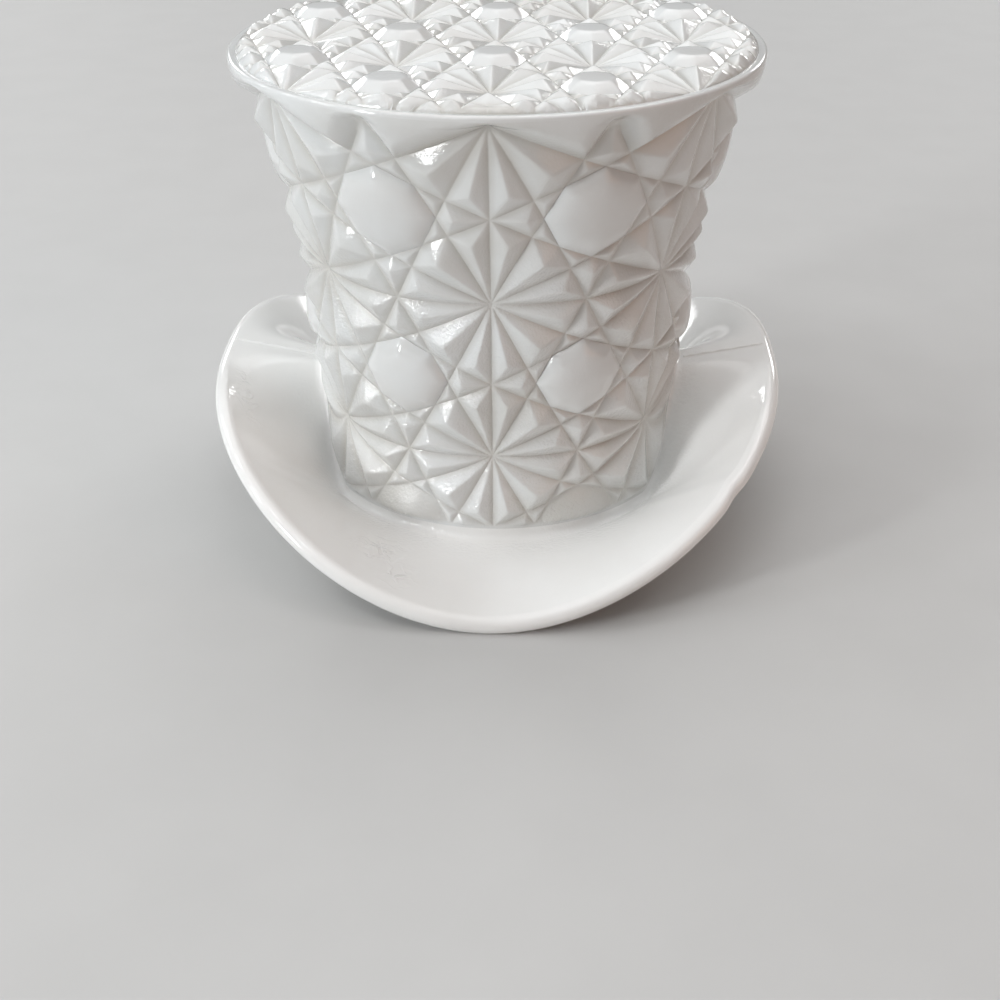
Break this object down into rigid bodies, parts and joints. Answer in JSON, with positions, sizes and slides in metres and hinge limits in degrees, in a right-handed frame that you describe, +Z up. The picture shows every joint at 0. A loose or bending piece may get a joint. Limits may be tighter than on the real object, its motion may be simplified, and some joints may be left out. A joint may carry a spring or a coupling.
{
  "type": "pressed glass top hat",
  "caption": "Milk-glass top hat ornament with a daisy-and-button relief on crown wall and top, a hollow crown and a turned-up brim that it stands on.",
  "frame": {"origin": "on the table, under the crown's axis, at the middle of the brim", "axes": "+Z up through the crown, -Y to the front where the brim dips, +X to the hat's side where the brim turns up"},
  "size_m": [0.082, 0.0924, 0.0669],
  "materials": {
    "patterned_glass": "opaque white, pressed, with the mould's fine grain",
    "smooth_glass": "opaque white, fire-polished"
  },
  "bodies": {
    "root": {"crown_top": "patterned_glass", "top_buttons": "patterned_glass", "crown_rim": "smooth_glass", "crown_wall": "patterned_glass", "wall_buttons": "patterned_glass", "crown_cove": "smooth_glass", "brim": "smooth_glass", "brim_lip": "smooth_glass", "mould_seams": "smooth_glass"}
  },
  "joints": []
}
